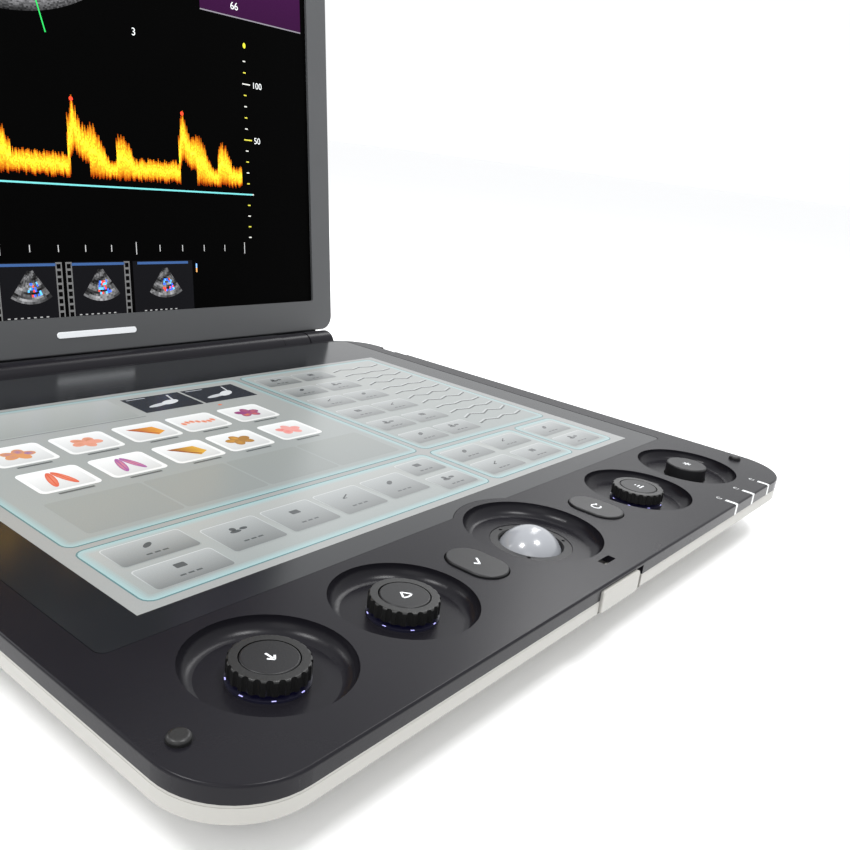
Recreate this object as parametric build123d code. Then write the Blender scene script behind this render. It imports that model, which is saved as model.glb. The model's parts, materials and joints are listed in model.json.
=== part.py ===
from build123d import *
import os
from math import cos, radians, sin

# Laptop-style ultrasound scanner. Millimetres, +Z up, +Y to the back, +X to the operator's right.
# Every function works with the deck surface at z = 0 and the trackball centre at x = y = 0.

# Base
BASE_HALF = 173.7
BASE_FRONT = -40.0
BASE_REAR = 258.0
BASE_CORNER = 24.0
COVER_T = 4.9
PLATE_T = 2.6
TRIM_T = 0.8
BAND_BOTTOM = -9.8
BELLY_BOTTOM = -27.5
BELLY_INSET = 20.0
WALL = 2.6
FLOOR_T = 2.4
FOOT_BOTTOM = -30.0

# Touch display
GLASS_HALF = 160.7
GLASS_FRONT = 24.3
GLASS_REAR = 255.6
GLASS_T = 1.5
GLASS_NOTCH_R = 29.9
TOUCH_HALF = 148.0
TOUCH_FRONT = 31.5
TOUCH_REAR = 218.5

# Controls
DISH_DEPTH = 5.0
DISH_WALL = 1.6
OUTER_DISH = (130.5, -3.9, 23.1)
INNER_DISH = (78.0, -4.1, 23.2)
BALL_DISH_R = 26.2
BALL_R = 12.7
BALL_Z = -11.7
KNOB_R = 11.0
KNOB_TOP = 1.2
KNOB_BOTTOM = -3.2
CAP_R = 7.85
FLUTES = 22
OVAL_X = 40.7
OVAL_Y = -3.9
OVAL_W = 15.7
OVAL_L = 22.8
LATCH_HOLE_Y = -30.6
PIPE_X = (100.9, 121.2, 141.1)

# Lid
LID_ANGLE = 98.8
AXIS_Y = 271.6
AXIS_Z = -5.0
LID_HALF = 173.7
LID_FRONT = -37.0
LID_REAR = 263.3
LID_FACE = 2.0
LID_T = 12.0
SCREEN_HALF = 156.2
SCREEN_NEAR = 243.4
SCREEN_FAR = -2.2
BARREL_R = 8.5
PIN_R = 2.5
LID_SCREW_X = (-130, -60, 60, 130)


# Shape helpers


def block(x0, x1, y0, y1, z0, z1):
    centre = Pos((x0 + x1) / 2, (y0 + y1) / 2, (z0 + z1) / 2)
    return centre * Box(x1 - x0, y1 - y0, z1 - z0)


def soft_block(x0, x1, y0, y1, z0, z1, radius):
    outline = Pos((x0 + x1) / 2, (y0 + y1) / 2, z0) * RectangleRounded(x1 - x0, y1 - y0, radius)
    return extrude(outline, z1 - z0)


def post(x, y, z0, z1, radius):
    return Pos(x, y, (z0 + z1) / 2) * Cylinder(radius, z1 - z0)


def bar_x(x0, x1, y, z, radius):
    return Pos((x0 + x1) / 2, y, z) * Rot(0, 90, 0) * Cylinder(radius, x1 - x0)


def ring(x, y, z0, z1, inner, outer):
    return post(x, y, z0, z1, outer) - post(x, y, z0 - 1, z1 + 1, inner)


def merged(shapes):
    result = shapes[0]
    for shape in shapes[1:]:
        result = result + shape
    return result


def base_outline(inset, z):
    width = 2 * (BASE_HALF - inset)
    length = BASE_REAR - BASE_FRONT - 2 * inset
    radius = max(BASE_CORNER - 0.6 * inset, 3.0)
    return Pos(0, (BASE_REAR + BASE_FRONT) / 2, z) * RectangleRounded(width, length, radius)


def stadium(x, y, width, length, z0, z1):
    outline = Pos(x, y, z0) * Rot(0, 0, 90) * SlotOverall(length, width)
    return extrude(outline, z1 - z0)


def bowl(x, y, radius):
    floor = radius - 4.2
    wall = ThreePointArc((radius, 0), (radius - 1.0, -3.3), (floor, -DISH_DEPTH))
    outline = [
        Line((0, 1), (radius, 1)),
        Line((radius, 1), (radius, 0)),
        wall,
        Line((floor, -DISH_DEPTH), (0, -DISH_DEPTH)),
        Line((0, -DISH_DEPTH), (0, 1)),
    ]
    face = make_face(outline)
    return Pos(x, y, 0) * revolve(Rot(90, 0, 0) * face, Axis.Z)


def glass_outline(gap, z, height):
    body = soft_block(
        -GLASS_HALF - gap, GLASS_HALF + gap, GLASS_FRONT - gap, GLASS_REAR + gap, z, z + height, 3.0
    )
    return body - post(0, 0, z - 1, z + height + 1, GLASS_NOTCH_R - gap)


def dishes():
    return [
        (-OUTER_DISH[0], OUTER_DISH[1], OUTER_DISH[2]),
        (-INNER_DISH[0], INNER_DISH[1], INNER_DISH[2]),
        (INNER_DISH[0], INNER_DISH[1], INNER_DISH[2]),
        (OUTER_DISH[0], OUTER_DISH[1], OUTER_DISH[2]),
    ]


def knob_sites():
    return dishes()[:3]


# Base casing, from the deck down to the feet


def top_cover():
    body = extrude(base_outline(0, -COVER_T), COVER_T)
    body = fillet(body.faces().sort_by(Axis.Z)[-1].outer_wire().edges(), 0.8)
    body = body - extrude(base_outline(3.2, -COVER_T - 1), COVER_T - PLATE_T + 1)
    for x, y, radius in dishes():
        body = body + post(x, y, -DISH_DEPTH - DISH_WALL, -1, radius + DISH_WALL)
    body = body + post(0, 0, -DISH_DEPTH - DISH_WALL, -1, BALL_DISH_R + DISH_WALL)
    for x, y, radius in dishes():
        body = body - bowl(x, y, radius)
    body = body - bowl(0, 0, BALL_DISH_R)
    for x, y, radius in knob_sites():
        body = body - post(x, y, -9, 0, 3.4)
    body = body - post(OUTER_DISH[0], OUTER_DISH[1], -9, 0, 9.7)
    body = body - post(0, 0, -9, 0, 15.5)
    for side in (-1, 1):
        body = body - stadium(side * OVAL_X, OVAL_Y, OVAL_W + 0.8, OVAL_L + 0.8, -5, 1)
    body = body - glass_outline(0.25, -GLASS_T - 0.1, 4)
    body = body - soft_block(-150, 150, 30.2, 220, -5, 1, 2)
    body = body - soft_block(-3.9, 3.9, LATCH_HOLE_Y - 1.6, LATCH_HOLE_Y + 1.6, -6, 1, 0.6)
    body = body - block(-20.5, 10.5, BASE_FRONT - 1, -36.6, -6, -1.3)
    for x in PIPE_X:
        body = body - block(x - 1.05, x + 1.05, BASE_FRONT - 1, -34.6, -6, 1)
    return body - block(169.9, 176, 208.8, 230.3, -6, 1)


def trim_frame():
    body = extrude(base_outline(0.1, -COVER_T - TRIM_T), TRIM_T)
    body = body - extrude(base_outline(3.6, -COVER_T - TRIM_T - 1), TRIM_T + 2)
    body = body - block(-20.5, 10.5, BASE_FRONT - 1, -35, -6, -3)
    return body


def tub(inset, bottom, bottom_inset):
    top = -COVER_T - TRIM_T
    band = extrude(base_outline(inset, BAND_BOTTOM), top - BAND_BOTTOM)
    belly = loft([base_outline(inset, BAND_BOTTOM), base_outline(bottom_inset, bottom)])
    return band + belly


def belly_screw_sites():
    return [(-118, -6), (118, -6), (-118, 232), (118, 232), (-146, 56), (146, 56)]


def foot_sites():
    return [(-138, -5), (138, -5), (-138, 222), (138, 222)]


def lower_housing():
    body = tub(0, BELLY_BOTTOM, BELLY_INSET)
    body = body - tub(WALL, BELLY_BOTTOM + FLOOR_T, BELLY_INSET + 1.9)
    body = body - extrude(base_outline(WALL, -6), 3)
    body = body - block(-176, -157, 108, 238, -25.6, -6.4)
    body = body - block(153, 176, 150, 236, -25.6, -6.4)
    body = body - block(-20.5, 10.5, BASE_FRONT - 1, -36.6, -9.9, -3)
    body = body - soft_block(-64, 64, 66, 152, -30, -20, 4)
    for x, y in belly_screw_sites():
        body = body - post(x, y, -30, -25.9, 3.4)
        body = body - post(x, y, -30, -20, 1.6)
    for x, y in foot_sites():
        body = body - post(x, y, -30, -26.7, 9.2)
    for index in range(12):
        x = 62 + 4.2 * index
        body = body - stadium(x, 206, 2.0, 38, -30, -22)
    for index in range(10):
        x = -96 + 4.2 * index
        body = body - stadium(x, 22, 1.8, 18, -30, -22)
    return body


def battery_door():
    door = soft_block(-63.7, 63.7, 66.3, 151.7, BELLY_BOTTOM, BELLY_BOTTOM + FLOOR_T, 3.7)
    for side in (-1, 1):
        door = door - soft_block(side * 40 - 9, side * 40 + 9, 70, 76, -28, -26.6, 2.8)
    return door


def battery_pack():
    pack = soft_block(-60, 60, 70, 148, -25.1, -13.6, 2)
    return pack - block(-52, 52, 78, 140, -14.0, -13)


def rubber_feet():
    feet = []
    for x, y in foot_sites():
        foot = post(x, y, FOOT_BOTTOM, -26.7, 9.0)
        feet.append(chamfer(foot.faces().sort_by(Axis.Z)[0].edges(), 0.8))
    return feet


def deck_bumpers():
    pads = []
    for side in (-1, 1):
        pad = post(side * 165.5, -14.5, 0, 1.6, 2.9)
        pads.append(fillet(pad.faces().sort_by(Axis.Z)[-1].edges(), 1.0))
    return pads


def belly_screws():
    screws = []
    for x, y in belly_screw_sites():
        screw = post(x, y, -27.2, -25.9, 3.2) + post(x, y, -26.2, -20, 1.5)
        screws.append(screw - block(x - 2.2, x + 2.2, y - 0.4, y + 0.4, -28, -26.6))
    return screws


# Touch display under the flush glass


def touch_glass():
    return glass_outline(0, -GLASS_T - 0.1, GLASS_T)


def touch_display():
    return block(-TOUCH_HALF, TOUCH_HALF, TOUCH_FRONT, TOUCH_REAR, -4.4, -GLASS_T - 0.1)


def touch_frame():
    tray = block(-152, 152, 30.2, 221.5, -5.4, -PLATE_T)
    tray = tray - block(-151, 151, 31.2, 220.5, -4.4, 0)
    for index in range(5):
        x = -116 + 58 * index
        tray = tray - soft_block(x - 22, x + 22, 50, 200, -6, -4, 4)
    return tray


# Knobs, buttons, trackball, latch and indicator lights


def knob_ring(x, y):
    body = post(x, y, KNOB_BOTTOM, KNOB_TOP, KNOB_R)
    body = fillet(body.faces().sort_by(Axis.Z)[-1].edges(), 0.7)
    for index in range(FLUTES):
        angle = radians(360 * index / FLUTES)
        flute_x = x + (KNOB_R + 0.55) * cos(angle)
        flute_y = y + (KNOB_R + 0.55) * sin(angle)
        body = body - post(flute_x, flute_y, KNOB_BOTTOM - 1, KNOB_TOP + 1, 1.15)
    body = body - post(x, y, KNOB_BOTTOM + 1.0, KNOB_TOP + 1, CAP_R + 0.25)
    return body - post(x, y, KNOB_BOTTOM - 1, KNOB_TOP + 1, 3.05)


def knob_cap(x, y):
    cap = post(x, y, -0.7, KNOB_TOP + 0.1, CAP_R)
    return fillet(cap.faces().sort_by(Axis.Z)[-1].edges(), 0.5)


def knob_light_rings():
    return [ring(x, y, -DISH_DEPTH, -DISH_DEPTH + 0.6, 8.0, 11.2) for x, y, radius in knob_sites()]


def encoders():
    result = []
    for x, y, radius in knob_sites():
        body = soft_block(x - 6, x + 6, y - 6, y + 6, -9.2, -6.7, 1)
        result.append(body + post(x, y, -7, -1.9, 3.0))
    return result


def freeze_button():
    x, y, radius = OUTER_DISH
    stem = post(x, y, -8.0, 0.9, 9.3)
    stem = fillet(stem.faces().sort_by(Axis.Z)[-1].edges(), 0.8)
    flange = post(x, y, -7.9, -6.9, 11.0)
    return stem + flange


def oval_button(side):
    x = side * OVAL_X
    cap = stadium(x, OVAL_Y, OVAL_W, OVAL_L, -2.9, 0.8)
    cap = fillet(cap.faces().sort_by(Axis.Z)[-1].edges(), 0.6)
    flange = stadium(x, OVAL_Y, OVAL_W + 2.6, OVAL_L + 2.6, -3.7, -2.8)
    return cap + flange + block(x - 4, x + 4, OVAL_Y - 6, OVAL_Y + 6, -8.0, -3.2)


def trackball():
    return Pos(0, 0, BALL_Z) * Sphere(BALL_R)


def trackball_ring():
    collar = ring(0, 0, -6.6, -5.2, 11.9, 15.3)
    collar = chamfer(collar.faces().sort_by(Axis.Z)[-1].inner_wires()[0].edges(), 0.5)
    for index in range(3):
        angle = radians(90 + 120 * index)
        collar = collar - post(13.7 * cos(angle), 13.7 * sin(angle), -5.6, -5, 0.7)
    return collar


def trackball_cup():
    cup = post(0, 0, -25.1, -6.6, 17.2)
    cup = cup - Pos(0, 0, BALL_Z) * Sphere(BALL_R + 0.35)
    cup = cup - post(0, 0, BALL_Z, -6, BALL_R + 0.35)
    return cup - post(0, 0, -26, -20, 5)


def control_board():
    board = soft_block(-150, 150, -24, 22, -10.8, -9.2, 2)
    board = board - post(0, 0, -12, -8, 18.0)
    for x, y in [(-104, -14), (104, -14), (-104, 12), (104, 12), (-54, 16), (54, 16)]:
        board = board - post(x, y, -12, -8, 1.6)
    for side in (-1, 1):
        board = board + block(side * 60 - 5, side * 60 + 5, 10, 18, -9.4, -8.2)
    return board


def indicator_board():
    board = soft_block(92, 150, -35, -26, -10.2, -9.0, 1)
    for x in PIPE_X:
        board = board + block(x - 1.4, x + 1.4, -35, -32.2, -9.2, -7.9)
    return board


def light_pipes():
    pipes = []
    for x in PIPE_X:
        front = block(x - 1.0, x + 1.0, BASE_FRONT, -37.6, -COVER_T, -0.1)
        top = block(x - 1.0, x + 1.0, BASE_FRONT + 0.9, -34.7, -2.4, 0)
        pipes.append(front + top + block(x - 1.0, x + 1.0, -36.3, -34.7, -7.8, -0.5))
    return pipes


def latch_tab():
    plate = block(-20.1, 6.5, -41.0, -38.3, -9.7, -1.6)
    plate = fillet(plate.edges().filter_by(Axis.Y), 1.4)
    plate = fillet(plate.faces().sort_by(Axis.Y)[0].edges(), 0.5)
    body = block(-16, 6.0, -38.6, -32.6, -9.0, -3.0)
    catch = block(1.7, 6.0, -33.0, -29.0, -3.9, -2.9)
    return plate + body + catch


def latch_guide():
    guide = block(-19.5, 12.0, -36.0, -27.5, -10.4, -9.2)
    guide = guide + block(-19.5, -17.0, -36.0, -27.5, -10, -3)
    guide = guide + block(10.2, 12.0, -36.0, -27.5, -10, -3)
    return guide


# Electronics, cooling and connectors inside the base


def standoffs():
    sites = [(-104, -14), (104, -14), (-104, 12), (104, 12), (-54, 16), (54, 16)]
    posts = [ring(x, y, -25.1, -10.8, 1.0, 2.6) for x, y in sites]
    for x, y in [(-140, 61.5), (140, 61.5), (-140, 176), (140, 176), (0, 176)]:
        posts.append(ring(x, y, -25.1, -12.2, 1.0, 2.6))
    return posts


def main_board():
    board = soft_block(-148, 148, 58, 182, -12.2, -10.6, 2)
    chips = [(-90, 90, 34, 34), (-20, 120, 38, 38), (50, 150, 24, 24), (-90, 150, 20, 28)]
    for x, y, width, length in chips:
        board = board + block(x - width / 2, x + width / 2, y - length / 2, y + length / 2, -10.8, -8.9)
    return board


def front_end_board():
    board = soft_block(76, 149, 66, 146, -22.0, -20.4, 2)
    for row in range(4):
        for column in range(3):
            x = 84 + 22 * column
            y = 72 + 18 * row
            board = board + block(x, x + 14, y, y + 12, -20.6, -18.6)
    return board


def power_board():
    board = soft_block(-149, -76, 66, 104, -22.0, -20.4, 2)
    for index in range(3):
        board = board + post(-136 + 22 * index, 84, -20.6, -14.0, 6.5)
    return board


def heat_spreader():
    plate = soft_block(-44, 110, 100, 181, -8.9, -7.7, 2)
    pipe = soft_block(66, 72, 150, 230, -7.7, -6.0, 2.9)
    return plate + pipe + soft_block(60, 110, 181, 236, -8.9, -7.7, 2)


def fan_housing():
    body = soft_block(58, 110, 184, 230, -25.1, -9.3, 4)
    body = body - post(84, 207, -26, -11, 21.5)
    body = body - post(84, 207, -12, -8, 15)
    for index in range(3):
        body = body + Pos(84, 207, -24.6) * Rot(0, 0, 120 * index) * Pos(11, 0, 0) * Box(24, 2, 1)
    return body + post(84, 207, -25.1, -23.6, 6)


def fan_impeller():
    hub = post(84, 207, -23.2, -12.5, 8)
    for index in range(9):
        blade = Rot(0, 0, 40 * index) * Pos(13.8, 0, 0) * Rot(24, 0, 0) * Box(12.6, 1.0, 9)
        hub = hub + Pos(84, 207, -17.9) * blade
    return hub


def speakers():
    result = []
    for side in (-1, 1):
        box = soft_block(side * 120 - 22, side * 120 + 22, 28, 52, -25.1, -14, 3)
        result.append(box - post(side * 120, 40, -16, -13, 9) + post(side * 120, 40, -16.2, -14.6, 4))
    return result


def port_housing():
    body = block(-173.2, -157, 108, 238, -25.6, -6.4)
    body = fillet(body.edges().filter_by(Axis.Y).sort_by(Axis.X)[:2], 1.2)
    for y in (116, 138):
        body = body - block(-174, -161, y, y + 14, -15.4, -9.2)
    body = body - block(-174, -161, 160, 176, -15.4, -9.2)
    body = body - block(-174, -160, 184, 201, -22.0, -8.8)
    body = body - bar_x(-174, -161, 213, -14.5, 4.2)
    return body - bar_x(-174, -160, 229, -14.5, 5.3)


def port_contacts():
    tongues = []
    for y in (116, 138):
        tongues.append(block(-171, -161, y + 2, y + 12, -10.9, -9.2))
    tongues.append(block(-171, -161, 163, 173, -10.9, -9.2))
    tongues.append(block(-170, -160, 187, 198, -10.6, -8.8))
    return tongues


def power_inlet_pin():
    return bar_x(-170.5, -161, 213, -14.5, 1.2)


def power_button():
    knob = bar_x(-173.6, -162.0, 229, -14.5, 5.0)
    return fillet(knob.faces().sort_by(Axis.X)[0].edges(), 0.5)


def probe_socket():
    body = block(153, 173.2, 150, 236, -25.6, -6.4)
    body = fillet(body.edges().filter_by(Axis.Y).sort_by(Axis.X)[-2:], 1.2)
    return body - block(160, 175, 158, 218, -23.0, -9.4)


def probe_contacts():
    insert = block(160, 162, 160, 216, -21.5, -10.9)
    for row in range(2):
        insert = insert + block(161.5, 168.0, 166, 210, -19.8 + 5.6 * row, -18.2 + 5.6 * row)
    return insert


def probe_lock():
    grip = block(170.3, 173.4, 210.0, 219.0, -3.9, -0.5)
    grip = fillet(grip.edges().filter_by(Axis.Z), 0.8)
    for index in range(3):
        grip = grip - block(173.0, 174, 212.1 + 2.0 * index, 212.9 + 2.0 * index, -3.4, 0)
    return grip


# Hinge and lid: the lid is drawn closed over the deck, then opened about the hinge axis


def knuckle(x0, x1, z_gap):
    tube = bar_x(x0, x1, AXIS_Y, AXIS_Z, BARREL_R - z_gap)
    return tube - bar_x(x0 - 1, x1 + 1, AXIS_Y, AXIS_Z, PIN_R)


def hinge_brackets():
    result = []
    for side in (-1, 1):
        x0 = min(side * 117, side * 139)
        arm = block(x0, x0 + 22, BASE_REAR, AXIS_Y, -10.3, -5.4)
        arm = arm - bar_x(x0 - 1, x0 + 23, AXIS_Y, AXIS_Z, PIN_R + 2)
        result.append(knuckle(x0, x0 + 22, 0.3) + arm)
    return result


def hinge_pins():
    return [bar_x(side * 131 - 19, side * 131 + 19, AXIS_Y, AXIS_Z, PIN_R - 0.05) for side in (-1, 1)]


def lid_outline(inset, z):
    width = 2 * (LID_HALF - inset)
    length = LID_REAR - LID_FRONT - 2 * inset
    radius = max(9.0 - 0.6 * inset, 2.0)
    return Pos(0, (LID_REAR + LID_FRONT) / 2, z) * RectangleRounded(width, length, radius)


def opened(shape):
    axis = Axis((0, AXIS_Y, AXIS_Z), (-1, 0, 0))
    if isinstance(shape, list):
        return [piece.rotate(axis, LID_ANGLE) for piece in shape]
    return shape.rotate(axis, LID_ANGLE)


def lid_bezel():
    body = extrude(lid_outline(0, LID_FACE), 4.0)
    body = fillet(body.faces().sort_by(Axis.Z)[0].outer_wire().edges(), 0.9)
    body = body - extrude(lid_outline(2.4, LID_FACE + 1.6), 5)
    body = body - soft_block(-SCREEN_HALF, SCREEN_HALF, SCREEN_FAR, SCREEN_NEAR, 0, 5, 1.0)
    body = body - soft_block(-3.1, 3.1, LATCH_HOLE_Y - 1.5, LATCH_HOLE_Y + 1.5, 0, 5, 0.5)
    return body


def lid_back_cover():
    body = extrude(lid_outline(0, LID_FACE + 4.0), LID_T - 4.0)
    body = fillet(body.faces().sort_by(Axis.Z)[-1].edges(), 4.5)
    groove = extrude(lid_outline(22, LID_FACE + LID_T - 0.5), 2) - extrude(lid_outline(23.2, LID_FACE), 20)
    body = body - extrude(lid_outline(2.4, LID_FACE + 3), LID_T - 5.2) - groove
    for x in LID_SCREW_X:
        body = body - post(x, 252, LID_FACE + LID_T - 1.2, LID_FACE + LID_T + 1, 2.4)
    return body


def screen_glass():
    return block(-157.5, 157.5, SCREEN_FAR - 4, SCREEN_NEAR + 4, 3.6, 4.4)


def screen_module():
    body = block(-157.5, 157.5, SCREEN_FAR - 4, SCREEN_NEAR + 4, 4.4, 8.4)
    return body - block(-120, 120, 30, 210, 7.9, 9)


def screen_driver():
    board = block(-90, 90, 190, 236, 8.4, 9.4)
    for index in range(5):
        board = board + block(-70 + 30 * index, -54 + 30 * index, 204, 218, 9.3, 10.6)
    return board


def hinge_arms():
    arms = []
    for side in (-1, 1):
        x0 = min(side * 142, side * 157)
        arms.append(block(x0, x0 + 15, 120, 260.5, 8.4, 10.0))
    return arms


def hinge_barrel():
    middle = knuckle(-116.5, 116.5, 0)
    pieces = [middle, knuckle(139.5, 160, 0), knuckle(-160, -139.5, 0)]
    pieces.append(block(-116.5, 116.5, 264.0, 275.0, 0.8, 7.0))
    pieces.append(block(139.5, 160, 264.0, 275.0, 0.8, 7.0))
    pieces.append(block(-160, -139.5, 264.0, 275.0, 0.8, 7.0))
    pieces.append(block(-160, 160, LID_REAR, 270.0, 4.2, 10.0))
    body = merged(pieces)
    for side in (-1, 1):
        body = body - bar_x(side * 128 - 11.5, side * 128 + 11.5, AXIS_Y, AXIS_Z, BARREL_R + 0.8)
    for x0, x1 in [(-118, 118), (138, 161), (-161, -138)]:
        body = body - bar_x(x0, x1, AXIS_Y, AXIS_Z, PIN_R)
    return body


def lid_hook():
    stem = block(-2.6, 1.2, LATCH_HOLE_Y - 1.2, LATCH_HOLE_Y + 1.2, -5.4, 3.6)
    barb = block(1.0, 2.6, LATCH_HOLE_Y - 1.2, LATCH_HOLE_Y + 1.2, -5.4, -4.3)
    foot = block(-6, 6, LATCH_HOLE_Y - 4, LATCH_HOLE_Y + 4, 3.6, 4.8)
    return stem + barb + foot


def lid_screws():
    screws = []
    for x in LID_SCREW_X:
        head = post(x, 252, LID_FACE + LID_T - 1.2, LID_FACE + LID_T - 0.2, 2.2)
        head = head - block(x - 1.5, x + 1.5, 251.6, 252.4, LID_FACE + LID_T - 0.8, LID_FACE + LID_T)
        screws.append(head)
    return screws


def as_list(shape):
    if isinstance(shape, list):
        return [solid for piece in shape for solid in piece.solids()]
    return list(shape.solids())


pieces = {
    "top_cover": top_cover(),
    "trim_frame": trim_frame(),
    "lower_housing": lower_housing(),
    "battery_door": battery_door(),
    "battery_pack": battery_pack(),
    "rubber_feet": rubber_feet(),
    "deck_bumpers": deck_bumpers(),
    "belly_screws": belly_screws(),
    "touch_glass": touch_glass(),
    "touch_display": touch_display(),
    "touch_frame": touch_frame(),
    "knob_light_rings": knob_light_rings(),
    "encoders": encoders(),
    "freeze_button": freeze_button(),
    "set_button": oval_button(-1),
    "update_button": oval_button(1),
    "trackball": trackball(),
    "trackball_ring": trackball_ring(),
    "trackball_cup": trackball_cup(),
    "control_board": control_board(),
    "indicator_board": indicator_board(),
    "light_pipes": light_pipes(),
    "latch_tab": latch_tab(),
    "latch_guide": latch_guide(),
    "standoffs": standoffs(),
    "main_board": main_board(),
    "front_end_board": front_end_board(),
    "power_board": power_board(),
    "heat_spreader": heat_spreader(),
    "fan_housing": fan_housing(),
    "fan_impeller": fan_impeller(),
    "speakers": speakers(),
    "port_housing": port_housing(),
    "port_contacts": port_contacts(),
    "power_inlet_pin": power_inlet_pin(),
    "power_button": power_button(),
    "probe_socket": probe_socket(),
    "probe_contacts": probe_contacts(),
    "probe_lock": probe_lock(),
    "hinge_brackets": hinge_brackets(),
    "hinge_pins": hinge_pins(),
    "lid_bezel": opened(lid_bezel()),
    "lid_back_cover": opened(lid_back_cover()),
    "screen_glass": opened(screen_glass()),
    "screen_module": opened(screen_module()),
    "screen_driver": opened(screen_driver()),
    "hinge_arms": opened(hinge_arms()),
    "hinge_barrel": opened(hinge_barrel()),
    "lid_hook": opened(lid_hook()),
    "lid_screws": opened(lid_screws()),
}
names = ["depth_knob", "gain_knob", "scale_knob"]
for name, site in zip(names, knob_sites()):
    pieces[name + "_ring"] = knob_ring(site[0], site[1])
    pieces[name + "_cap"] = knob_cap(site[0], site[1])

solids = {name: as_list(shape) for name, shape in pieces.items()}
whole = Compound([solid for group in solids.values() for solid in group]).bounding_box()
shift = Pos(-(whole.min.X + whole.max.X) / 2, -(whole.min.Y + whole.max.Y) / 2, -whole.min.Z)

os.makedirs("parts", exist_ok=True)
for name, group in solids.items():
    export_step(Compound([shift * solid for solid in group]), "parts/" + name + ".step")
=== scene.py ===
import bmesh
import bpy
import json
import math
import random
from mathutils import Matrix, Vector


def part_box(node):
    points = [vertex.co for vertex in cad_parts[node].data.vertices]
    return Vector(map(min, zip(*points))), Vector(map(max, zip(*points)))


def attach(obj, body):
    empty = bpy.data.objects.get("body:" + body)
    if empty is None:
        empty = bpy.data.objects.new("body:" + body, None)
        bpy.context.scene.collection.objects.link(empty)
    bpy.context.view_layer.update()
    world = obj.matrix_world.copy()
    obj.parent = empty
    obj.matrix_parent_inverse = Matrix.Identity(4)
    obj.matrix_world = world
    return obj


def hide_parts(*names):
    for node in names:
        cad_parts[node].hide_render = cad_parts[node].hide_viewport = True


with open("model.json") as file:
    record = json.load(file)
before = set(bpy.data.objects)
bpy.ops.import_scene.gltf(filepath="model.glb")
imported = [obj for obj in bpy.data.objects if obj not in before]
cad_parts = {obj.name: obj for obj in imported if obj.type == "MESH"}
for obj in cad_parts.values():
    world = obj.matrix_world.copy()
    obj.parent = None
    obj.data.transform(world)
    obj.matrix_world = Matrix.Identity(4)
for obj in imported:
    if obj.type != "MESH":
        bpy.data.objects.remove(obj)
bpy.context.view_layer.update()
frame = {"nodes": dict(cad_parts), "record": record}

MM = 0.001
RANDOM = random.Random(7)
LOW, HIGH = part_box("trackball")
ORIGIN = Vector(((LOW.x + HIGH.x) / 2, (LOW.y + HIGH.y) / 2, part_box("top_cover")[1].z))

# Lid geometry in millimetres from the trackball centre on the deck; s runs up the open lid
LID_ANGLE = math.radians(98.8)
AXIS_Y = 271.6
AXIS_Z = -5.0
LID_ROOT = 6.15
LID_FACE = 7.0
SCREEN_DEPTH = 1.6
LAYER = 0.03

# Artwork and marks: depth under the glass, arc steps of a corner, sinking and height of a mark
GLASS_DROP = 0.1
CORNER_STEPS = 4
MARK_SINK = 0.02
MARK_RISE = 0.06
ICON_RISE = 0.05

WHITE = (0.80, 0.82, 0.82)
INK = (0.035, 0.04, 0.045)
TEAL = (0.10, 0.19, 0.20)
GLOW = (0.31, 0.44, 0.45)


def at(x, y, z=0.0):
    return ORIGIN + Vector((x, y, z)) * MM


def on_deck(x, y, height):
    return at(x, y, height - GLASS_DROP)


def on_screen(x, s, height):
    across = -(s + LID_ROOT)
    away = LID_FACE + SCREEN_DEPTH - height
    y = AXIS_Y + across * math.cos(LID_ANGLE) + away * math.sin(LID_ANGLE)
    z = AXIS_Z - across * math.sin(LID_ANGLE) + away * math.cos(LID_ANGLE)
    return at(x, y, z)


def on_bezel(x, s, height):
    return on_screen(x, s, height + SCREEN_DEPTH)


# ---------------------------------------------------------------- materials


class Nodes:
    """A short way to add and link shader nodes."""

    def __init__(self, name):
        self.material = bpy.data.materials.new(name)
        self.material.use_nodes = True
        self.tree = self.material.node_tree
        self.shader = self.tree.nodes["Principled BSDF"]

    def add(self, kind, **values):
        node = self.tree.nodes.new(kind)
        for key, value in values.items():
            node.inputs[key].default_value = value
        return node

    def link(self, source, target):
        self.tree.links.new(source, target)


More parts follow.
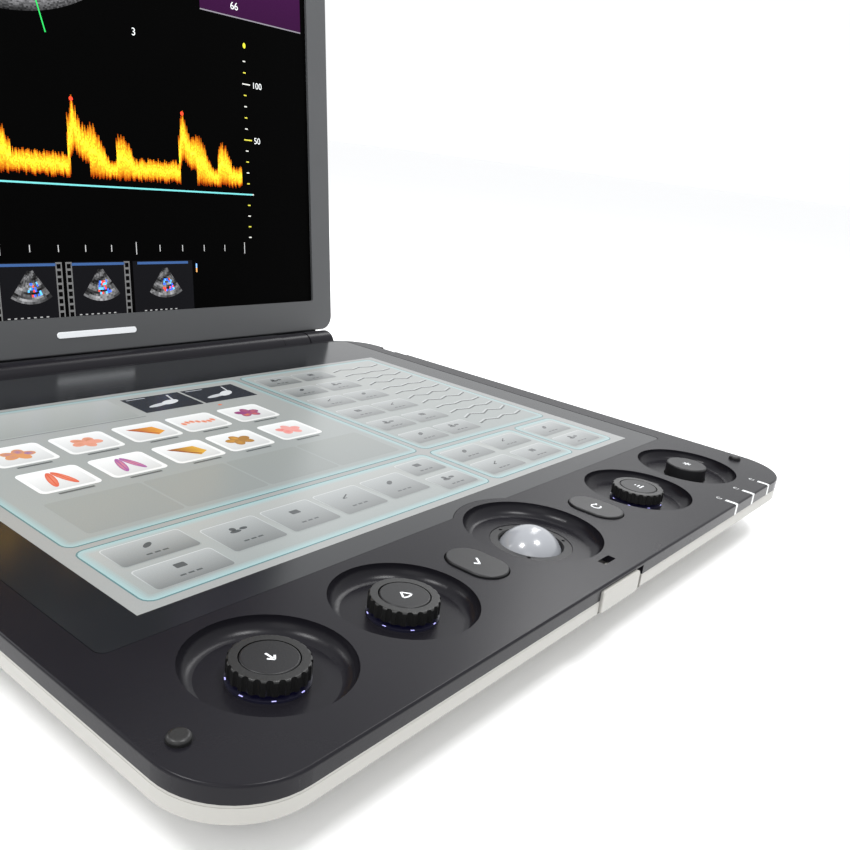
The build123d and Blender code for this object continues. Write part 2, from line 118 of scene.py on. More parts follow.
def moulded(name, colour, rough, grain=0.05, spread=0.12, scale=900.0, metal=0.0, coat=0.0,
             specular=0.5, glow=(0, 0, 0), strength=0.0):
    """Moulded or machined surface: fine texture, colour drift, uneven gloss, optional glow."""
    n = Nodes(name)
    place = n.add("ShaderNodeTexCoord")
    drift = n.add("ShaderNodeTexNoise", Scale=scale / 30, Detail=4.0)
    fine = n.add("ShaderNodeTexNoise", Scale=scale, Detail=3.0)
    n.link(place.outputs["Object"], drift.inputs["Vector"])
    n.link(place.outputs["Object"], fine.inputs["Vector"])
    tint = n.add("ShaderNodeValToRGB")
    dark = [max(channel * (1 - spread), 0) for channel in colour]
    pale = [min(channel * (1 + spread), 1) for channel in colour]
    tint.color_ramp.elements[0].color = (*dark, 1)
    tint.color_ramp.elements[1].color = (*pale, 1)
    n.link(drift.outputs["Fac"], tint.inputs["Fac"])
    n.link(tint.outputs["Color"], n.shader.inputs["Base Color"])
    gloss = n.add("ShaderNodeMapRange")
    gloss.inputs["To Min"].default_value = rough * 0.88
    gloss.inputs["To Max"].default_value = min(rough * 1.12, 1)
    n.link(drift.outputs["Fac"], gloss.inputs["Value"])
    n.link(gloss.outputs["Result"], n.shader.inputs["Roughness"])
    bump = n.add("ShaderNodeBump", Strength=grain, Distance=0.0002)
    n.link(fine.outputs["Fac"], bump.inputs["Height"])
    n.link(bump.outputs["Normal"], n.shader.inputs["Normal"])
    n.shader.inputs["Metallic"].default_value = metal
    n.shader.inputs["Coat Weight"].default_value = coat
    n.shader.inputs["Specular IOR Level"].default_value = specular
    n.shader.inputs["Coat Roughness"].default_value = 0.06
    if strength:
        n.shader.inputs["Emission Color"].default_value = (*glow, 1)
        n.shader.inputs["Emission Strength"].default_value = strength
    return n.material


def lit(name, strength, rough, specular, gain=1.0):
    """Display artwork: the colour stored on the mesh, glowing, under a faint pixel grain."""
    n = Nodes(name)
    tint = n.add("ShaderNodeAttribute")
    tint.attribute_name = "tint"
    place = n.add("ShaderNodeTexCoord")
    grain = n.add("ShaderNodeTexNoise", Scale=2600.0, Detail=1.0)
    n.link(place.outputs["Object"], grain.inputs["Vector"])
    level = n.add("ShaderNodeMapRange")
    level.inputs["To Min"].default_value = 0.9 * gain
    level.inputs["To Max"].default_value = 1.08 * gain
    n.link(grain.outputs["Fac"], level.inputs["Value"])
    scaled = n.add("ShaderNodeVectorMath")
    scaled.operation = "SCALE"
    n.link(tint.outputs["Color"], scaled.inputs[0])
    n.link(level.outputs["Result"], scaled.inputs["Scale"])
    n.link(scaled.outputs["Vector"], n.shader.inputs["Base Color"])
    n.link(scaled.outputs["Vector"], n.shader.inputs["Emission Color"])
    n.shader.inputs["Emission Strength"].default_value = strength
    n.shader.inputs["Roughness"].default_value = rough
    n.shader.inputs["Specular IOR Level"].default_value = specular
    return n.material


CHARCOAL = moulded("charcoal_plastic", (0.0085, 0.008, 0.0105), 0.26, grain=0.08, specular=0.15)
CREAM = moulded("cream_plastic", (0.36, 0.352, 0.328), 0.42, grain=0.08, spread=0.04)
SATIN = moulded("grey_satin_paint", (0.062, 0.064, 0.067), 0.45, grain=0.10, spread=0.06)
GLASS = moulded("touch_glass_black", (0.012, 0.013, 0.015), 0.17, grain=0.0, spread=0.2)
SCREEN = moulded("screen_front", (0.001, 0.001, 0.001), 0.35, grain=0.02, specular=0.01)
RUBBER = moulded("black_rubber", (0.009, 0.009, 0.009), 0.38, grain=0.25, scale=1400.0, specular=0.4)
CAP = moulded("cap_plastic", (0.009, 0.009, 0.010), 0.36, grain=0.15, scale=1500.0, specular=0.3)
BLACK = moulded("black_plastic", (0.010, 0.010, 0.011), 0.40, grain=0.12, specular=0.3)
BALL = moulded("smoke_ball", (0.27, 0.28, 0.30), 0.22, grain=0.0, spread=0.06, coat=0.5)
STEEL = moulded("plain_steel", (0.55, 0.55, 0.57), 0.32, grain=0.10, metal=1.0)
ALUMINIUM = moulded("aluminium", (0.70, 0.70, 0.72), 0.38, grain=0.12, metal=1.0)
GOLD = moulded("plated_contacts", (0.80, 0.58, 0.25), 0.25, grain=0.05, metal=1.0)
BOARD = moulded("circuit_board", (0.02, 0.12, 0.05), 0.40, grain=0.2, spread=0.35, scale=300.0)
DIFFUSER = moulded("frosted_light", (0.70, 0.72, 0.72), 0.45, grain=0.05, spread=0.03)
PRINT = moulded("white_print", (0.80, 0.82, 0.84), 0.5, grain=0.05, spread=0.03)
HALO = moulded(
    "knob_halo", (0.008, 0.008, 0.012), 0.4, grain=0.02, spread=0.08,
    glow=(0.16, 0.14, 0.9), strength=0.008,
)
# Painted glint: a glowing blue-white finish for small strips that stand in for the glints under the knob
# skirts
GLINT = moulded(
    "knob_painted_glint", (0.3, 0.3, 0.5), 0.4, grain=0.0,
    glow=(0.42, 0.40, 1.0), strength=1.1,
)
TOUCH_ART = lit("touch_artwork", 0.06, rough=0.24, specular=0.5, gain=0.80)
SCREEN_ART = lit("screen_artwork", 0.9, rough=0.4, specular=0.03)

FINISHES = {
    CHARCOAL: ["top_cover", "hinge_barrel", "hinge_brackets", "battery_door"],
    CREAM: ["lower_housing", "trim_frame", "latch_tab"],
    SATIN: ["lid_bezel", "lid_back_cover"],
    GLASS: ["touch_glass", "touch_display"],
    SCREEN: ["screen_glass", "screen_module"],
    RUBBER: ["rubber_feet", "deck_bumpers", "depth_knob_ring", "gain_knob_ring", "scale_knob_ring"],
    CAP: ["depth_knob_cap", "gain_knob_cap", "scale_knob_cap", "set_button", "update_button"],
    BLACK: [
        "trackball_ring", "trackball_cup", "port_housing", "probe_socket", "probe_lock", "fan_housing",
        "fan_impeller", "speakers", "battery_pack", "latch_guide", "encoders", "freeze_button",
        "power_button",
    ],
    BALL: ["trackball"],
    STEEL: [
        "touch_frame", "belly_screws", "lid_screws", "hinge_pins", "hinge_arms", "lid_hook", "standoffs",
    ],
    ALUMINIUM: ["heat_spreader"],
    GOLD: ["port_contacts", "probe_contacts", "power_inlet_pin"],
    BOARD: [
        "control_board", "indicator_board", "main_board", "front_end_board", "power_board",
        "screen_driver",
    ],
    DIFFUSER: ["light_pipes"],
    HALO: ["knob_light_rings"],
}


def finish_nodes():
    for finish, names in FINISHES.items():
        for name in names:
            slots = frame["nodes"][name].data.materials
            slots.clear()
            slots.append(finish)


# ---------------------------------------------------------------- flat artwork


def mix(a, b, t):
    return tuple(p + (q - p) * t for p, q in zip(a, b))


def stroke(x0, y0, x1, y1, width):
    """The four corners of a straight line with a width."""
    length = math.hypot(x1 - x0, y1 - y0)
    dx = (y1 - y0) / length * width / 2
    dy = (x0 - x1) / length * width / 2
    return [(x0 - dx, y0 - dy), (x0 + dx, y0 + dy), (x1 + dx, y1 + dy), (x1 - dx, y1 - dy)]


def add_piece(name, mesh, body):
    piece = bpy.data.objects.new(name, mesh)
    bpy.context.scene.collection.objects.link(piece)
    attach(piece, body)
    return piece


def store_tints(mesh, tints):
    store = mesh.attributes.new("tint", "FLOAT_COLOR", "POINT")
    for item, tint in zip(store.data, tints):
        item.color = (*tint, 1)


class Art:
    """Thin coloured shapes laid in layers on one surface of the object."""

    def __init__(self, name, place):
        self.name = name
        self.place = place
        self.points = []
        self.faces = []
        self.tints = []

    def shape(self, outline, colours, level):
        start = len(self.points)
        for x, y in outline:
            self.points.append(self.place(x, y, LAYER * level))
        self.faces.append(range(start, start + len(outline)))
        if isinstance(colours, tuple):
            colours = [colours] * len(outline)
        self.tints.extend(colours)

    def box(self, x0, y0, x1, y1, colour, level):
        self.shape([(x0, y0), (x1, y0), (x1, y1), (x0, y1)], colour, level)

    def panel(self, x0, y0, x1, y1, radius, near, far, level):
        """A box with rounded corners whose colour runs from the near edge to the far edge."""
        rows = []
        for step in range(CORNER_STEPS + 1):
            angle = math.pi / 2 * step / CORNER_STEPS
            rise = radius * (1 - math.cos(angle))
            inset = radius * (1 - math.sin(angle))
            rows.append((y0 + rise, inset))
        rows += [(y0 + y1 - y, inset) for y, inset in reversed(rows)]
        for (ya, ia), (yb, ib) in zip(rows, rows[1:]):
            colour_a = mix(near, far, (ya - y0) / (y1 - y0))
            colour_b = mix(near, far, (yb - y0) / (y1 - y0))
            outline = [(x0 + ia, ya), (x1 - ia, ya), (x1 - ib, yb), (x0 + ib, yb)]
            self.shape(outline, [colour_a, colour_a, colour_b, colour_b], level)

    def line(self, x0, y0, x1, y1, width, colour, level):
        self.shape(stroke(x0, y0, x1, y1, width), colour, level)

    def oval(self, x, y, rx, ry, colour, level, turn=0.0, rim=None, sides=20):
        outline = []
        for index in range(sides):
            angle = 2 * math.pi * index / sides
            px = rx * math.cos(angle)
            py = ry * math.sin(angle)
            outline.append((
                x + px * math.cos(turn) - py * math.sin(turn),
                y + px * math.sin(turn) + py * math.cos(turn),
            ))
        for index in range(sides):
            corner = outline[(index + 1) % sides]
            self.shape([(x, y), outline[index], corner], [colour, rim or colour, rim or colour], level)

    def build(self, finish, body):
        mesh = bpy.data.meshes.new(self.name)
        mesh.from_pydata(self.points, [], [list(face) for face in self.faces])
        store_tints(mesh, self.tints)
        mesh.materials.append(finish)
        add_piece(self.name, mesh, body)


# ---------------------------------------------------------------- touch display

PANEL_NEAR = (0.28, 0.305, 0.30)
PANEL_FAR = (0.36, 0.375, 0.365)
BUTTON_NEAR = (0.17, 0.18, 0.18)
BUTTON_FAR = (0.36, 0.38, 0.38)
TOUCH_HALF = 143.2
TOUCH_NEAR = 34.9
TOUCH_FAR = 213.9
PANELS = (
    (-138, 80, 31, 211), (-138, 38.5, 29, 77.5), (32, 38.5, 98, 77.5),
    (100.5, 38.5, 136.5, 77.5), (34, 80, 138, 211),
)
PANEL_BASE = 1.2
PANEL_CORNER = 4.0
PANEL_RINGS = 5
FIELD = 3.6
TILE = 4.4
STEP = 0.3
TILE_W = 23.5
TILE_H = 20.5
TILE_EDGE = 1.6
UPPER_ROW = 150.3
LOWER_ROW = 121.5
NEAR_ROW = 43
FAR_ROW = 60
TILE_COLUMNS = (-123.0, -95.0, -67.0, -40.5, -12.0)
TILE_COLOURS = [
    ((0.22, 0.14, 0.36), (0.60, 0.28, 0.12)),
    ((0.50, 0.22, 0.12), (0.68, 0.31, 0.22)),
    ((0.68, 0.31, 0.05), (0.36, 0.09, 0.05)),
    ((0.64, 0.15, 0.07), (0.72, 0.37, 0.28)),
    ((0.64, 0.20, 0.09), (0.28, 0.07, 0.19)),
    ((0.68, 0.26, 0.17), (0.60, 0.12, 0.07)),
    ((0.68, 0.28, 0.20), (0.32, 0.11, 0.32)),
    ((0.64, 0.37, 0.06), (0.24, 0.07, 0.04)),
    ((0.60, 0.31, 0.07), (0.36, 0.19, 0.06)),
    ((0.70, 0.19, 0.17), (0.72, 0.34, 0.31)),
]


def glowing_panel(art, x0, y0, x1, y1):
    art.panel(x0, y0, x1, y1, PANEL_CORNER, TEAL, TEAL, PANEL_BASE)
    for ring in range(PANEL_RINGS):
        inset = 0.55 + 0.75 * ring
        share = ring / (PANEL_RINGS - 1)
        near = mix(GLOW, PANEL_NEAR, share)
        far = mix(GLOW, PANEL_FAR, share)
        radius = max(PANEL_CORNER - inset, 1.0)
        level = PANEL_BASE + 1 + 0.2 * ring
        art.panel(x0 + inset, y0 + inset, x1 - inset, y1 - inset, radius, near, far, level)


def person_mark(art, x, y, colour, level):
    art.oval(x - 1.6, y + 1.0, 1.2, 1.2, colour, level)
    art.oval(x - 1.6, y - 0.8, 2.2, 1.0, colour, level)
    art.oval(x + 2.2, y, 1.6, 0.9, colour, level)


def arrow_mark(art, x, y, colour, level):
    art.line(x - 2, y - 1.2, x + 2, y + 1.2, 0.6, colour, level)
    art.line(x - 2, y - 1.2, x - 0.2, y - 1.4, 0.6, colour, level)


def soft_button(art, x0, y0, x1, y1, mark):
    rim = 0.4
    art.panel(x0 - rim, y0 - rim, x1 + rim, y1 + rim, 1.6, PANEL_NEAR, (0.48, 0.50, 0.50), TILE)
    art.panel(x0, y0, x1, y1, 1.4, BUTTON_NEAR, BUTTON_FAR, TILE + STEP)
    middle = (x0 + x1) / 2
    height = (y1 - y0) / 2
    faded = mix(INK, BUTTON_NEAR, 0.35)
    top = y0 + height * 1.35
    mark_level = TILE + 2 * STEP
    if mark == 0:
        art.oval(middle, top, 2.2, 1.1, faded, mark_level, turn=0.6)
    elif mark == 1:
        person_mark(art, middle, top, faded, mark_level)
    elif mark == 2:
        art.panel(middle - 2, top - 1.4, middle + 2, top + 1.4, 0.5, faded, faded, mark_level)
    else:
        arrow_mark(art, middle, top, faded, mark_level)
    dash_y = y0 + height * 0.45
    for dash in range(3):
        x = middle - 4.0 + 2.9 * dash
        art.box(x, dash_y, x + 2.1, dash_y + 0.8, faded, mark_level)


def organ_tile(art, x, y, index):
    first, second = TILE_COLOURS[index]
    right = x + TILE_W
    top = y + TILE_H
    edge = TILE_EDGE
    picture = TILE + 2 * STEP
    detail = TILE + 3 * STEP
    art.panel(x, y, right, top, 2.4, (0.74, 0.75, 0.74), WHITE, TILE)
    art.panel(
        x + edge, y + edge, right - edge, top - edge, 1.8,
        (0.56, 0.57, 0.57), (0.76, 0.77, 0.77), TILE + STEP,
    )
    cx = x + 11.7
    cy = y + 10.6
    if index in (5, 6):
        for side in (-1, 1):
            art.oval(cx + side * 2.4, cy, 1.7, 7.0, first, picture, turn=side * 0.25, rim=second)
            art.line(cx + side * 1.2, cy + 6, cx + side * 3.6, cy - 6, 0.6, second, detail)
    elif index in (2, 7):
        wedge = [(cx - 7, cy + 5), (cx + 5, cy + 4), (cx + 7, cy - 3), (cx + 2, cy - 6)]
        art.shape(wedge, [second, first, first, first], picture)
        art.line(cx - 6, cy + 4, cx + 3, cy - 5, 0.9, second, detail)
    elif index == 3:
        for bead in range(7):
            bead_x = cx - 7.5 + 2.5 * bead
            bead_y = cy + 1.4 * math.sin(bead)
            art.oval(bead_x, bead_y, 1.2, 1.8, first, picture, rim=second)
    else:
        for blob in range(5):
            angle = 1.26 * blob + index
            px = cx + 3.6 * math.cos(angle)
            py = cy + 2.6 * math.sin(angle)
            shade = mix(first, second, blob / 4)
            art.oval(px, py, 3.2, 2.3, shade, picture + 0.1 * blob, turn=angle, rim=second)
    art.box(x + 5, y - 2.6, x + 18.5, y - 1.4, mix(INK, PANEL_NEAR, 0.3), TILE)


def probe_tile(art, x, turn):
    art.box(x, 182, x + 31.5, 203.5, (0.030, 0.034, 0.042), TILE)
    cx = x + 15
    cy = 192.5
    art.oval(cx + 4.0, cy - 1.0, 5.2, 2.6, (0.62, 0.64, 0.66), TILE + 0.6, turn=0.3 + turn)
    art.oval(cx - 3.0, cy - 2.6, 6.4, 1.7, (0.50, 0.52, 0.54), TILE + 0.3, turn=0.22)
    art.line(cx + 7, cy + 0.5, cx + 9, cy + 9, 1.0, (0.5, 0.52, 0.54), TILE + 0.3)
    art.box(x + 2, 201.2, x + 12, 202.2, (0.35, 0.37, 0.4), TILE + 0.3)


def slider_waves(art):
    """The wavy slider lines at the right of the setting buttons."""
    for row in range(12):
        y = 92 + 9.6 * row
        bend = 2.4 + 0.8 * math.sin(row * 1.7)
        for step in range(5):
            x = 93 + 8 * step
            rise = bend * (step % 2)
            fall = bend * ((step + 1) % 2)
            art.line(x, y + rise, x + 8, y + fall, 1.3, (0.42, 0.44, 0.44), TILE)
            art.line(x, y + rise - 0.8, x + 8, y + fall - 0.8, 0.9, (0.07, 0.08, 0.08), TILE + STEP)


def task_buttons(art):
    """The row of buttons nearest to the operator."""
    soft_button(art, -131, FAR_ROW, -103, FAR_ROW + 13.5, 0)
    soft_button(art, -131, NEAR_ROW, -103, NEAR_ROW + 13.5, 2)
    for column in range(4):
        x = -98 + 25.5 * column
        soft_button(art, x, 49, x + 22, 68, (column + 1) % 4)
    soft_button(art, 5, FAR_ROW, 25, FAR_ROW + 13, 2)
    soft_button(art, 5, NEAR_ROW, 25, NEAR_ROW + 13, 1)
    for x in (36, 67):
        for row_y in (NEAR_ROW, FAR_ROW):
            soft_button(art, x, row_y, x + 26, row_y + 13, (x + row_y) % 4)
    for row_y in (NEAR_ROW, FAR_ROW):
        soft_button(art, 105, row_y, 131, row_y + 13, row_y % 3)


def setting_buttons(art):
    """Two columns of buttons in the right-hand panel."""
    for row in range(6):
        for column in range(2):
            x = 39 + 26 * column
            y = 87 + 20.5 * row
            soft_button(art, x, y, x + 23, y + 13.5, (row + column) % 4)


def touch_artwork():
    art = Art("touch_screen_image", on_deck)
    art.box(-TOUCH_HALF, TOUCH_NEAR, TOUCH_HALF, TOUCH_FAR, (0.30, 0.31, 0.305), 1)
    for x0, y0, x1, y1 in PANELS:
        glowing_panel(art, x0, y0, x1, y1)
    art.box(-134, 178, -44, 178.7, (0.20, 0.22, 0.22), FIELD + STEP)
    art.panel(-134, 180, -46, 207, 1.0, (0.31, 0.33, 0.32), (0.40, 0.42, 0.41), FIELD)
    for column in range(4):
        x = -127 + 38 * column
        art.panel(x, 86, x + 37, 114, 1.5, (0.25, 0.27, 0.265), (0.275, 0.295, 0.285), FIELD)
    probe_tile(art, -41, 0.0)
    probe_tile(art, -8, 0.25)
    art.oval(-4, 177, 1.0, 0.8, (0.8, 0.15, 0.05), TILE)
    for index in range(len(TILE_COLOURS)):
        row_y = UPPER_ROW if index < len(TILE_COLUMNS) else LOWER_ROW
        organ_tile(art, TILE_COLUMNS[index % len(TILE_COLUMNS)], row_y, index)
    task_buttons(art)
    setting_buttons(art)
    slider_waves(art)
    art.build(TOUCH_ART, "base")


# ---------------------------------------------------------------- main display

BASELINE = 90.0
BEAT = 68.0
TRACE_START = -150.0
TRACE_END = 100.0
TRACE_CELL = (0.6, 0.9)
PEAK_X = -10.0
SCALE_X = 110.5
SCALE_STEP = 6.5
TICK = 0.35
TIME_X = -54.0
TIME_STEP = 15.4
TIME_S = 57.5
SECTOR_X = -45.0
READ_X = 74.0
BAR = 1.4
FILM_TOP = 50.5
FILM_EDGE = 3.6
BLACK_LEVEL = (0.0, 0.0, 0.0)
DIGIT_COLOUR = (0.55, 0.57, 0.57)
THUMBNAILS = (
    (-143, 38, True), (-101, 38, True), (-59, 37, True), (-20, 38, True), (20, 40, False),
)


def beat_phase(x):
    """Distance from the nearest heartbeat peak, negative before it."""
    return (x - PEAK_X + BEAT / 2) % BEAT - BEAT / 2


def trace_height(x):
    phase = beat_phase(x)
    upstroke = 35 / (1 + math.exp(-(phase + 3.2) * 1.6)) if phase < 0 else 35 * math.exp(-phase / 8)
    if phase < -4:
        upstroke = 0
    late = 14 * math.exp(-((phase - 12) / 6.5) ** 2)
    second = 11 * math.exp(-((phase - 28) / 5.0) ** 2)
    tail = 11.5 if phase > 24 or phase < -3 else 3.0
    return 3.5 + upstroke + late + second + tail


def doppler_trace(art):
    """The blood-flow trace: columns of small glowing cells from the baseline to the wave's height."""
    width, height = TRACE_CELL
    x = TRACE_START
    while x < TRACE_END:
        top = trace_height(x) * RANDOM.uniform(0.92, 1.10)
        phase = beat_phase(x)
        floor = 4.5 + RANDOM.uniform(-1.2, 1.2)
        if -3 < phase < 8:
            floor = max(floor, top * 0.42)
        middle = (top + floor) / 2
        half = max((top - floor) / 2, 0.8)
        y = floor
        while y < top:
            far = abs(y - middle) / half
            glow = max(0.0, 1 - far ** 2.2) * RANDOM.uniform(0.55, 1.0)
            colour = mix((0.55, 0.06, 0.0), (1.0, 0.52, 0.02), min(glow * 1.3, 1))
            if far < 0.10:
                colour = (0.55, 0.70, 0.03)
            fade = 0.35 + 0.65 * glow
            colour = tuple(channel * fade for channel in colour)
            art.box(x, BASELINE + y, x + width, BASELINE + y + height, colour, 2)
            y += height
        x += width
    for beat in range(4):
        peak = PEAK_X + BEAT * (1 - beat)
        art.oval(peak, BASELINE + trace_height(peak) + 1, 1.1, 1.1, (0.8, 0.05, 0.02), 3)


def sector_image(art, apex_x, apex_s, reach, half_angle, rows, columns, level, colour_flow):
    """A fan-shaped scan made of small grey cells, with coloured flow cells in its middle if asked."""
    inner = reach * 0.12
    patches = []
    for _ in range(14):
        across = RANDOM.uniform(-0.8, 0.8)
        down = RANDOM.uniform(0.2, 0.95)
        patches.append((across, down, RANDOM.uniform(0.4, 1)))
    for row in range(rows):
        r0 = inner + (reach - inner) * row / rows
        r1 = inner + (reach - inner) * (row + 1) / rows
        for column in range(columns):
            t0 = -1 + 2 * column / columns
            t1 = -1 + 2 * (column + 1) / columns
            depth = row / rows
            value = 0.05 + 0.05 * math.sin(depth * 17 + 2.5 * t0)
            for px, py, gain in patches:
                value += 0.10 * gain * math.exp(-((t0 - px) / 0.30) ** 2 - ((depth - py) / 0.05) ** 2)
            value = max(value, 0.01) * RANDOM.uniform(0.35, 1.5)
            colour = (value, value, value * 1.03)
            if colour_flow and abs(t0 - 0.1) < 0.45 and 0.30 < depth < 0.75 and RANDOM.random() < 0.5:
                colour = RANDOM.choice([(0.75, 0.06, 0.04), (0.04, 0.12, 0.85), (0.10, 0.45, 0.9)])
            corners = []
            for radius, turn in ((r0, t0), (r0, t1), (r1, t1), (r1, t0)):
                angle = half_angle * turn
                corners.append((apex_x + radius * math.sin(angle), apex_s - radius * math.cos(angle)))
            art.shape(corners, colour, level)


def film_thumbnail(art, x, width, strip):
    """A small stored picture, with perforated film edges when strip is true."""
    art.box(x, 20.8, x + width, FILM_TOP, (0.004, 0.004, 0.005), 1)
    art.box(x + 3, 48.6, x + width - 3, 50.0, (0.03, 0.07, 0.18), 2)
    if strip:
        for edge in (x, x + width - FILM_EDGE):
            art.box(edge, 21, edge + FILM_EDGE, FILM_TOP, (0.10, 0.10, 0.10), 2)
            for hole in range(8):
                s = 22 + 3.6 * hole
                art.box(edge + 0.7, s, edge + 2.9, s + 2.4, BLACK_LEVEL, 3)
    sector_image(art, x + width / 2 + 1, 48.5, 19, 0.62, 14, 16, 3, True)
    for dash in range(7):
        left = x + 6 + 3.4 * dash
        art.box(left, 22.4, left + 1.4, 23.0, (0.25, 0.25, 0.25), 3)


def digits(text, x, s, size, name):
    """A number of the main screen as flat faces."""
    curve = bpy.data.curves.new(name, "FONT")
    curve.body = text
    curve.size = 1.0
    holder = bpy.data.objects.new(name + "_source", curve)
    bpy.context.scene.collection.objects.link(holder)
    bpy.context.view_layer.update()
    mesh = bpy.data.meshes.new_from_object(holder)
    bpy.data.objects.remove(holder)
    for vertex in mesh.vertices:
        vertex.co = on_screen(x + vertex.co.x * size, s + vertex.co.y * size, LAYER * 3)
    store_tints(mesh, [DIGIT_COLOUR] * len(mesh.vertices))
    mesh.materials.clear()
    mesh.materials.append(SCREEN_ART)
    add_piece(name, mesh, "lid")


def speed_scale(art):
    """Ticks of the vertical scale beside the trace, with long ones at the numbers."""
    for step in range(-4, 13):
        s = BASELINE + SCALE_STEP * step
        colour = (0.45, 0.42, 0.05) if step % 2 else (0.45, 0.45, 0.42)
        numbered = step in (0, 5, 10)
        left = 103 if numbered else 104
        right = 109 if numbered else 106
        art.box(left, s - TICK, right, s + TICK, colour, 2)


def time_scale(art):
    """Ticks of the time axis under the trace, with a long one at every fifth."""
    for step in range(-6, 11):
        x = TIME_X + TIME_STEP * step
        if x < TRACE_START:
            continue
        half = 3.4 if step % 5 == 0 else 1.8
        art.box(x - 0.25, TIME_S - half, x + 0.25, TIME_S + half, (0.33, 0.33, 0.33), 2)


def reading_box(art):
    """The violet box of readings on the right, its values drawn as bars."""
    art.panel(READ_X, 192, 152, 236, 1.0, (0.020, 0.003, 0.022), (0.030, 0.004, 0.034), 1)
    art.box(READ_X, 191.6, 152, 192.3, (0.15, 0.14, 0.16), 2)
    for row in range(5):
        s = 206 + 6 * row
        art.box(80, s, 100 + 5 * (row % 3), s + BAR, (0.30, 0.30, 0.32), 3)


def side_readings(art):
    art.box(TRACE_START, 250, -95, 262, (0.02, 0.03, 0.05), 1)
    for row in range(7):
        s = 182 + 9 * row
        art.box(-148, s, -132 + 4 * (row % 3), s + BAR, (0.25, 0.26, 0.26), 2)


def screen_artwork():
    art = Art("main_screen_image", on_screen)
    doppler_trace(art)
    art.line(-152, BASELINE, 108, BASELINE, 0.9, (0.12, 0.42, 0.42), 2)
    speed_scale(art)
    time_scale(art)
    for x, width, strip in THUMBNAILS:
        film_thumbnail(art, x, width, strip)
    art.box(62.5, 46, 63.4, 48.5, (0.2, 0.4, 0.8), 3)
    art.box(62.5, 43.5, 63.4, 46, (0.6, 0.3, 0.1), 3)
    sector_image(art, SECTOR_X, 262, 92, 0.72, 110, 120, 1, False)
    art.line(SECTOR_X, 256, -21, 163, 0.7, (0.02, 0.42, 0.08), 3)
    reading_box(art)
    side_readings(art)
    art.oval(105.5, BASELINE + 87, 1.1, 1.6, (0.45, 0.45, 0.03), 3)
    art.build(SCREEN_ART, "lid")
    scale_drop = 1.8
    digits("100", SCALE_X, BASELINE + 10 * SCALE_STEP - scale_drop, 5.2, "scale_number_100")
    digits("50", SCALE_X, BASELINE + 5 * SCALE_STEP - scale_drop, 5.2, "scale_number_50")
    digits("66", 96, 196, 6.0, "rate_number")
    digits("3", 28, 170, 5.6, "depth_number")


# ---------------------------------------------------------------- marks and small pieces


# Number per knob and radius of the painted glint strips
GLINTS_PER_KNOB = 8
GLINT_RADIUS = 10.9
INDICATOR_X = (100.9, 121.2, 141.1)
INDICATOR_Y = -31.8
BADGE_X = -5.0
BADGE_S = 12.7
BADGE_HALF = 22.0
BADGE_R = 1.7
BADGE_SIDES = 24


def raised(name, place, outlines, thick, finish, body):
    """Low raised marks: each outline becomes a thin closed prism."""
    points = []
    faces = []
    for outline in outlines:
        start = len(points)
        count = len(outline)
        points += [place(x, y, 0) for x, y in outline]
        points += [place(x, y, thick) for x, y in outline]
        faces.append([start + index for index in reversed(range(count))])
        faces.append([start + count + index for index in range(count)])
        for index in range(count):
            after = (index + 1) % count
            faces.append([start + index, start + after, start + count + after, start + count + index])
    mesh = bpy.data.meshes.new(name)
    mesh.from_pydata(points, [], faces)
    mesh.materials.append(finish)
    return add_piece(name, mesh, body)


def arc_strokes(x, y, radius, start, stop, width, count):
    result = []
    for index in range(count):
        a = math.radians(start + (stop - start) * index / count)
        b = math.radians(start + (stop - start) * (index + 1) / count)
        result.append(stroke(
            x + radius * math.cos(a), y + radius * math.sin(a),
            x + radius * math.cos(b), y + radius * math.sin(b), width,
        ))
    return result


def node_top(name):
    low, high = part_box(name)
    centre = ((low + high) / 2 - ORIGIN) / MM
    top = (high.z - ORIGIN.z) / MM
    return centre.x, centre.y, top


def arrow_strokes(x, y):
    return [
        stroke(x, y + 1.8, x, y - 1.4, 0.6),
        stroke(x, y - 1.8, x - 1.3, y - 0.3, 0.6),
        stroke(x, y - 1.8, x + 1.3, y - 0.3, 0.6),
    ]


def fan_strokes(x, y):
    sides = [stroke(x, y + 1.6, x + side * 1.8, y - 1.0, 0.6) for side in (-1, 1)]
    return arc_strokes(x, y + 1.6, 3.2, 235, 305, 0.6, 6) + sides


def scale_strokes(x, y):
    rows = ((2.0, -1.5), (1.2, 0.0), (0.5, 1.5))
    return [stroke(x - half, y + rise, x + half, y + rise, 0.6) for half, rise in rows]


def tick_strokes(x, y):
    return [
        stroke(x - 1.9, y, x - 0.5, y - 1.6, 0.7),
        stroke(x - 0.7, y - 1.6, x + 2.0, y + 1.8, 0.7),
    ]


def refresh_strokes(x, y):
    tail = stroke(x + 1.2, y + 0.6, x + 2.6, y + 1.4, 0.6)
    return arc_strokes(x, y, 1.9, 40, 330, 0.6, 12) + [tail]


def flake_strokes(x, y):
    arms = []
    for angle in (0.0, 1.047, 2.094):
        dx = 2 * math.cos(angle)
        dy = 2 * math.sin(angle)
        arms.append(stroke(x - dx, y - dy, x + dx, y + dy, 0.5))
    return arms


MARKS = {
    "depth_knob_cap": arrow_strokes,
    "gain_knob_cap": fan_strokes,
    "scale_knob_cap": scale_strokes,
    "set_button": tick_strokes,
    "update_button": refresh_strokes,
    "freeze_button": flake_strokes,
}


def body_of(node):
    bodies = frame["record"]["behaviour"]["bodies"]
    return next(name for name, members in bodies.items() if node in members)


def deck_mark(name, outlines, top, rise, finish, body):
    def place(x, y, height):
        return at(x, y, top - MARK_SINK + height)

    raised(name, place, outlines, rise, finish, body)


def control_marks():
    for node, draw in MARKS.items():
        x, y, top = node_top(node)
        deck_mark(node + "_mark", draw(x, y), top, MARK_RISE, PRINT, body_of(node))
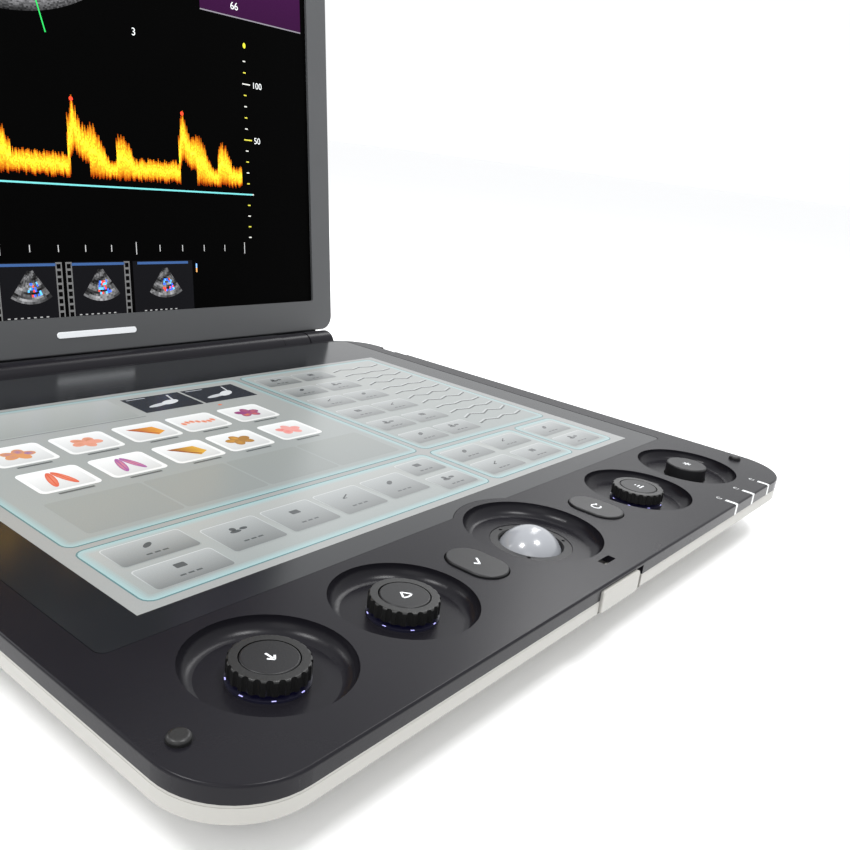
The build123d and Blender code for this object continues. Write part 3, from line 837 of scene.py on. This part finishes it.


# Painted glints: short glowing arcs on the light ring round each knob, standing in for the glints under
# the knob skirts
def knob_glint_strips():
    glint_outlines = []
    for cap in ("depth_knob_cap", "gain_knob_cap", "scale_knob_cap"):
        x, y, _ = node_top(cap)
        for step in range(GLINTS_PER_KNOB):
            start = 360 / GLINTS_PER_KNOB * step + 8
            glint_outlines += arc_strokes(x, y, GLINT_RADIUS, start, start + 6, 0.35, 2)
    ring_top = node_top("knob_light_rings")[2]
    deck_mark("knob_glint_strips", glint_outlines, ring_top, MARK_RISE, GLINT, "base")


def indicator_icons():
    outlines = []
    for x in INDICATOR_X:
        outlines += arc_strokes(x, INDICATOR_Y, 1.1, 0, 300, 0.3, 8)
    deck_mark("indicator_icons", outlines, 0.0, ICON_RISE, DIFFUSER, "base")


def bezel_badge():
    outline = []
    for index in range(BADGE_SIDES):
        angle = 2 * math.pi * index / BADGE_SIDES
        side = 1 if math.cos(angle) > 0 else -1
        x = BADGE_X + side * BADGE_HALF + BADGE_R * math.cos(angle)
        outline.append((x, BADGE_S + BADGE_R * math.sin(angle)))
    badge = raised("bezel_badge", on_bezel, [outline], 0.35, PRINT, "lid")
    badge.modifiers.new("soft_edge", "BEVEL").width = 0.12 * MM


def trackball_surface():
    radius = (HIGH.x - LOW.x) / 2
    mesh = bpy.data.meshes.new("trackball_polished")
    sphere = bmesh.new()
    bmesh.ops.create_uvsphere(sphere, u_segments=64, v_segments=40, radius=radius)
    bmesh.ops.translate(sphere, verts=sphere.verts, vec=(LOW + HIGH) / 2)
    for face in sphere.faces:
        face.smooth = True
    sphere.to_mesh(mesh)
    sphere.free()
    mesh.materials.append(BALL)
    ball = add_piece("trackball_polished", mesh, "trackball")
    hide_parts("trackball")


# ---------------------------------------------------------------- camera, light and floor


# The eye, in millimetres from the trackball centre on the deck, and its three axes
LENS = 37.47
EYE = (-267.15, -147.33, 127.07)
EYE_RIGHT = (0.62967, -0.76743, 0.12068)
EYE_UP = (0.15477, 0.27616, 0.94857)
EYE_BACK = (-0.76129, -0.57861, 0.29267)

# Name, place, target, width, depth (metres) and power (watts) of each lamp
LAMPS = (
    ("overhead_left", (-0.75, 0.15, 1.2), (0, 0, 0), 0.3, 0.3, 9),
    ("overhead_right", (0.1, -0.55, 1.3), (0, 0, 0), 0.3, 0.3, 9),
    ("right_high", (1.0, 0.3, 1.1), (0.1, 0, 0.05), 0.3, 1.0, 5),
    ("left_fill", (-1.3, -0.8, 0.9), (0, 0, 0.1), 0.9, 0.9, 3),
    ("rear_strip", (-0.3, 1.3, 0.8), (0, 0, 0.05), 1.2, 0.25, 6),
)
FLOOR = 400


def camera():
    data = bpy.data.cameras.new("camera")
    data.lens = LENS
    data.sensor_width = 36.0
    data.clip_start = 0.01
    eye = bpy.data.objects.new("camera", data)
    bpy.context.scene.collection.objects.link(eye)
    turn = Matrix((EYE_RIGHT, EYE_UP, EYE_BACK)).transposed().to_4x4()
    eye.matrix_world = Matrix.Translation(at(*EYE)) @ turn
    bpy.context.scene.camera = eye


def area_light(name, place, target, width, depth, power):
    data = bpy.data.lights.new(name, "AREA")
    data.shape = "RECTANGLE"
    data.size = width
    data.size_y = depth
    data.energy = power
    lamp = bpy.data.objects.new(name, data)
    bpy.context.scene.collection.objects.link(lamp)
    lamp.location = place
    lamp.rotation_euler = (Vector(target) - Vector(place)).to_track_quat("-Z", "Y").to_euler()


def studio():
    world = bpy.data.worlds.new("studio")
    bpy.context.scene.world = world
    world.use_nodes = True
    world.node_tree.nodes["Background"].inputs["Color"].default_value = (0.98, 0.99, 1.0, 1)
    world.node_tree.nodes["Background"].inputs["Strength"].default_value = 1.03
    for lamp in LAMPS:
        area_light(*lamp)
    bpy.ops.mesh.primitive_plane_add(size=FLOOR, location=(0, 0, 0))
    floor = bpy.context.object
    floor.name = "floor"
    pale = moulded("pale_floor", (0.965, 0.965, 0.965), 0.8, grain=0.0, spread=0.01, scale=60)
    floor.data.materials.append(pale)
    bpy.context.scene.view_settings.view_transform = "Standard"


camera()
studio()
finish_nodes()
touch_artwork()
screen_artwork()
control_marks()
knob_glint_strips()
indicator_icons()
bezel_badge()
trackball_surface()
